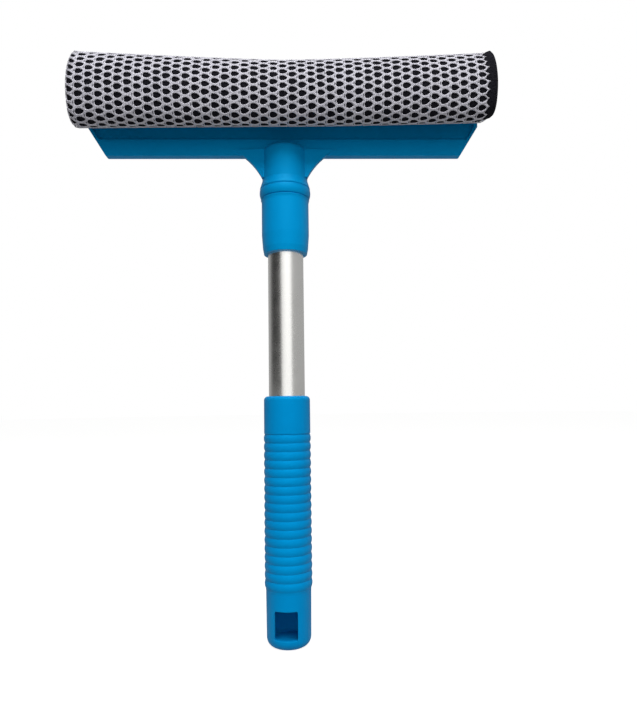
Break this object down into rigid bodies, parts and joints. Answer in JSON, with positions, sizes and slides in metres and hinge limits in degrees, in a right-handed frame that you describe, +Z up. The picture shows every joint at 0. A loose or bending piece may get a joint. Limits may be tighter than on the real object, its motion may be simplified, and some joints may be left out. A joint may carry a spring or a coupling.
{
  "type": "window scrubber",
  "caption": "Hand window scrubber: a net-covered foam pad and a rubber blade on a wide moulded head, screwed to a short tube handle with a ribbed grip.",
  "frame": {"origin": "middle of the grip's end face", "axes": "+Z up the handle to the head, +X along the head, -Y out of the pad's face"},
  "size_m": [0.2542, 0.0548, 0.36],
  "materials": {
    "blue_grip": "satin",
    "blue_plastic": "satin",
    "aluminium_tube": "satin",
    "black_plug": "matte",
    "steel": "satin",
    "black_rubber": "matte",
    "foam": "matte",
    "net_fabric": "matte"
  },
  "bodies": {
    "handle": {"grip": "blue_grip", "tube": "aluminium_tube", "tube_plug": "black_plug", "threaded_collar": "blue_plastic", "collar_pin": "steel"},
    "seal": {"seal_washer": "black_rubber"},
    "head": {"head_frame": "blue_plastic", "pad_carrier": "black_plug", "carrier_screws": "steel", "foam_pad": "foam", "mesh_sleeve": "net_fabric", "rubber_blade": "black_rubber", "blade_cap_left": "blue_plastic", "blade_cap_right": "blue_plastic"}
  },
  "joints": [
    {"name": "head_lift", "type": "slide", "parent": "handle", "child": "seal", "axis": [0, 0, 1], "range_m": [0, 0.01]},
    {"name": "head_turn", "type": "hinge", "parent": "seal", "child": "head", "pos_m": [0, 0, 0.2702], "axis": [0, 0, 1], "range_deg": [0, 900]}
  ],
  "couplings": [
    {"joint": "head_lift", "follows": "head_turn", "m_per_rad": 0.00063662}
  ]
}
